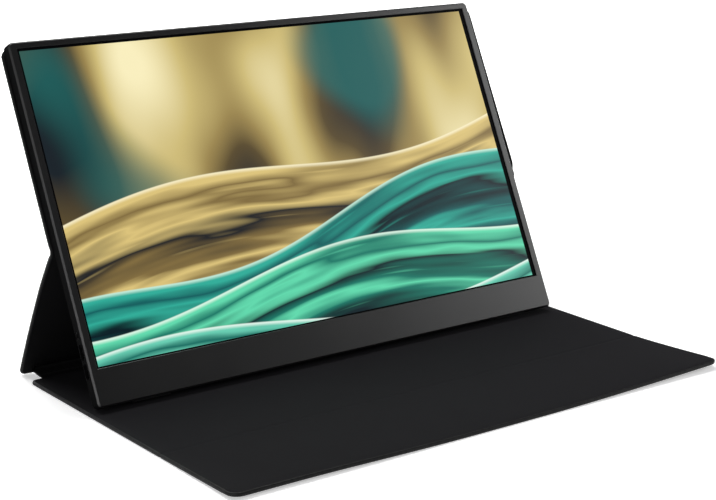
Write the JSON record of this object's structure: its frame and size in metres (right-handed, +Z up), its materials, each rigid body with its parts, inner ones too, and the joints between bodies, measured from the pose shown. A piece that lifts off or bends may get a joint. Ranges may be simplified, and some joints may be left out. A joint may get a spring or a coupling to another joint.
{
  "type": "portable monitor",
  "caption": "Slim portable monitor leaning on its folding cover: a flap on the table, a spine, a strut and a magnetic back panel.",
  "frame": {"origin": "on the table, midway along the cover, below the screen's lower front edge, on the base panel's underside", "axes": "+X to the right along the width as seen from the front, -Y towards the viewer, +Z up"},
  "size_m": [0.3701, 0.2549, 0.2061],
  "materials": {
    "bezel_plastic": "fine satin texture",
    "casing_plastic": "matt moulded",
    "screen": "lit anti-glare panel",
    "film": "white sheet",
    "light_guide": "clear acrylic",
    "tray_metal": "pressed sheet",
    "circuit_board": "green solder mask",
    "flex_film": "amber film",
    "chip": "moulded package",
    "screw_steel": "plated",
    "socket_steel": "plated sheet",
    "socket_black": "moulded",
    "magnet": "nickel plated",
    "foot_rubber": "soft matt",
    "button_plastic": "satin",
    "cover_skin": "fine grained black",
    "cover_board": "dense greyboard",
    "cover_lining": "smooth microfibre"
  },
  "bodies": {
    "base": {"base_skin": "cover_skin", "base_board": "cover_board", "base_lining": "cover_lining", "seat_magnets": "magnet"},
    "flap": {"flap_skin": "cover_skin", "flap_board": "cover_board", "flap_lining": "cover_lining", "flap_magnets": "magnet"},
    "spine": {"spine_skin": "cover_skin", "spine_board": "cover_board", "spine_lining": "cover_lining"},
    "strut": {"strut_skin": "cover_skin", "strut_board": "cover_board", "strut_lining": "cover_lining"},
    "display": {"front_bezel": "bezel_plastic", "rear_casing": "casing_plastic", "lcd_panel": "screen", "optical_films": "film", "light_guide": "light_guide", "reflector_sheet": "film", "panel_tray": "tray_metal", "light_bar": "circuit_board", "driver_board": "circuit_board", "driver_flexes": "flex_film", "main_board": "circuit_board", "board_chips": "chip", "board_screws": "screw_steel", "usb_c_sockets": "socket_steel", "usb_c_tongues": "socket_black", "audio_socket": "socket_black", "panel_cable": "flex_film", "button_ribbon": "flex_film", "button_board": "circuit_board", "button_switches": "socket_steel", "casing_magnets": "magnet", "rubber_feet": "foot_rubber", "upper_skin": "cover_skin", "upper_board": "cover_board", "upper_lining": "cover_lining", "upper_magnets": "magnet"},
    "power_key": {"power_button": "button_plastic"},
    "up_key": {"up_button": "button_plastic"},
    "down_key": {"down_button": "button_plastic"}
  },
  "joints": [
    {"name": "flap_fold", "type": "hinge", "parent": "base", "child": "flap", "pos_m": [0, -0.0726, 0.0012], "axis": [-1, 0, 0], "range_deg": [0, 120]},
    {"name": "spine_fold", "type": "hinge", "parent": "base", "child": "spine", "pos_m": [0, 0.08083, 0.0012], "axis": [-1, 0, 0], "range_deg": [0, 90]},
    {"name": "stand_fold", "type": "hinge", "parent": "spine", "child": "strut", "pos_m": [0, 0.09525, 0.0027], "axis": [1, 0, 0], "range_deg": [-18, 24]},
    {"name": "apex_fold", "type": "hinge", "parent": "strut", "child": "display", "pos_m": [0, 0.05144, 0.0882], "axis": [1, 0, 0], "range_deg": [-48.5, 36.5]},
    {"name": "power_press", "type": "slide", "parent": "display", "child": "power_key", "axis": [-1, 0, 0], "range_m": [0, 0.0004], "stiffness_N_per_m": 1500, "springref_m": -0.0005},
    {"name": "up_press", "type": "slide", "parent": "display", "child": "up_key", "axis": [-1, 0, 0], "range_m": [0, 0.0004], "stiffness_N_per_m": 1500, "springref_m": -0.0005},
    {"name": "down_press", "type": "slide", "parent": "display", "child": "down_key", "axis": [-1, 0, 0], "range_m": [0, 0.0004], "stiffness_N_per_m": 1500, "springref_m": -0.0005}
  ],
  "couplings": [
    {"joint": "apex_fold", "follows": "stand_fold", "ratio": -2}
  ]
}
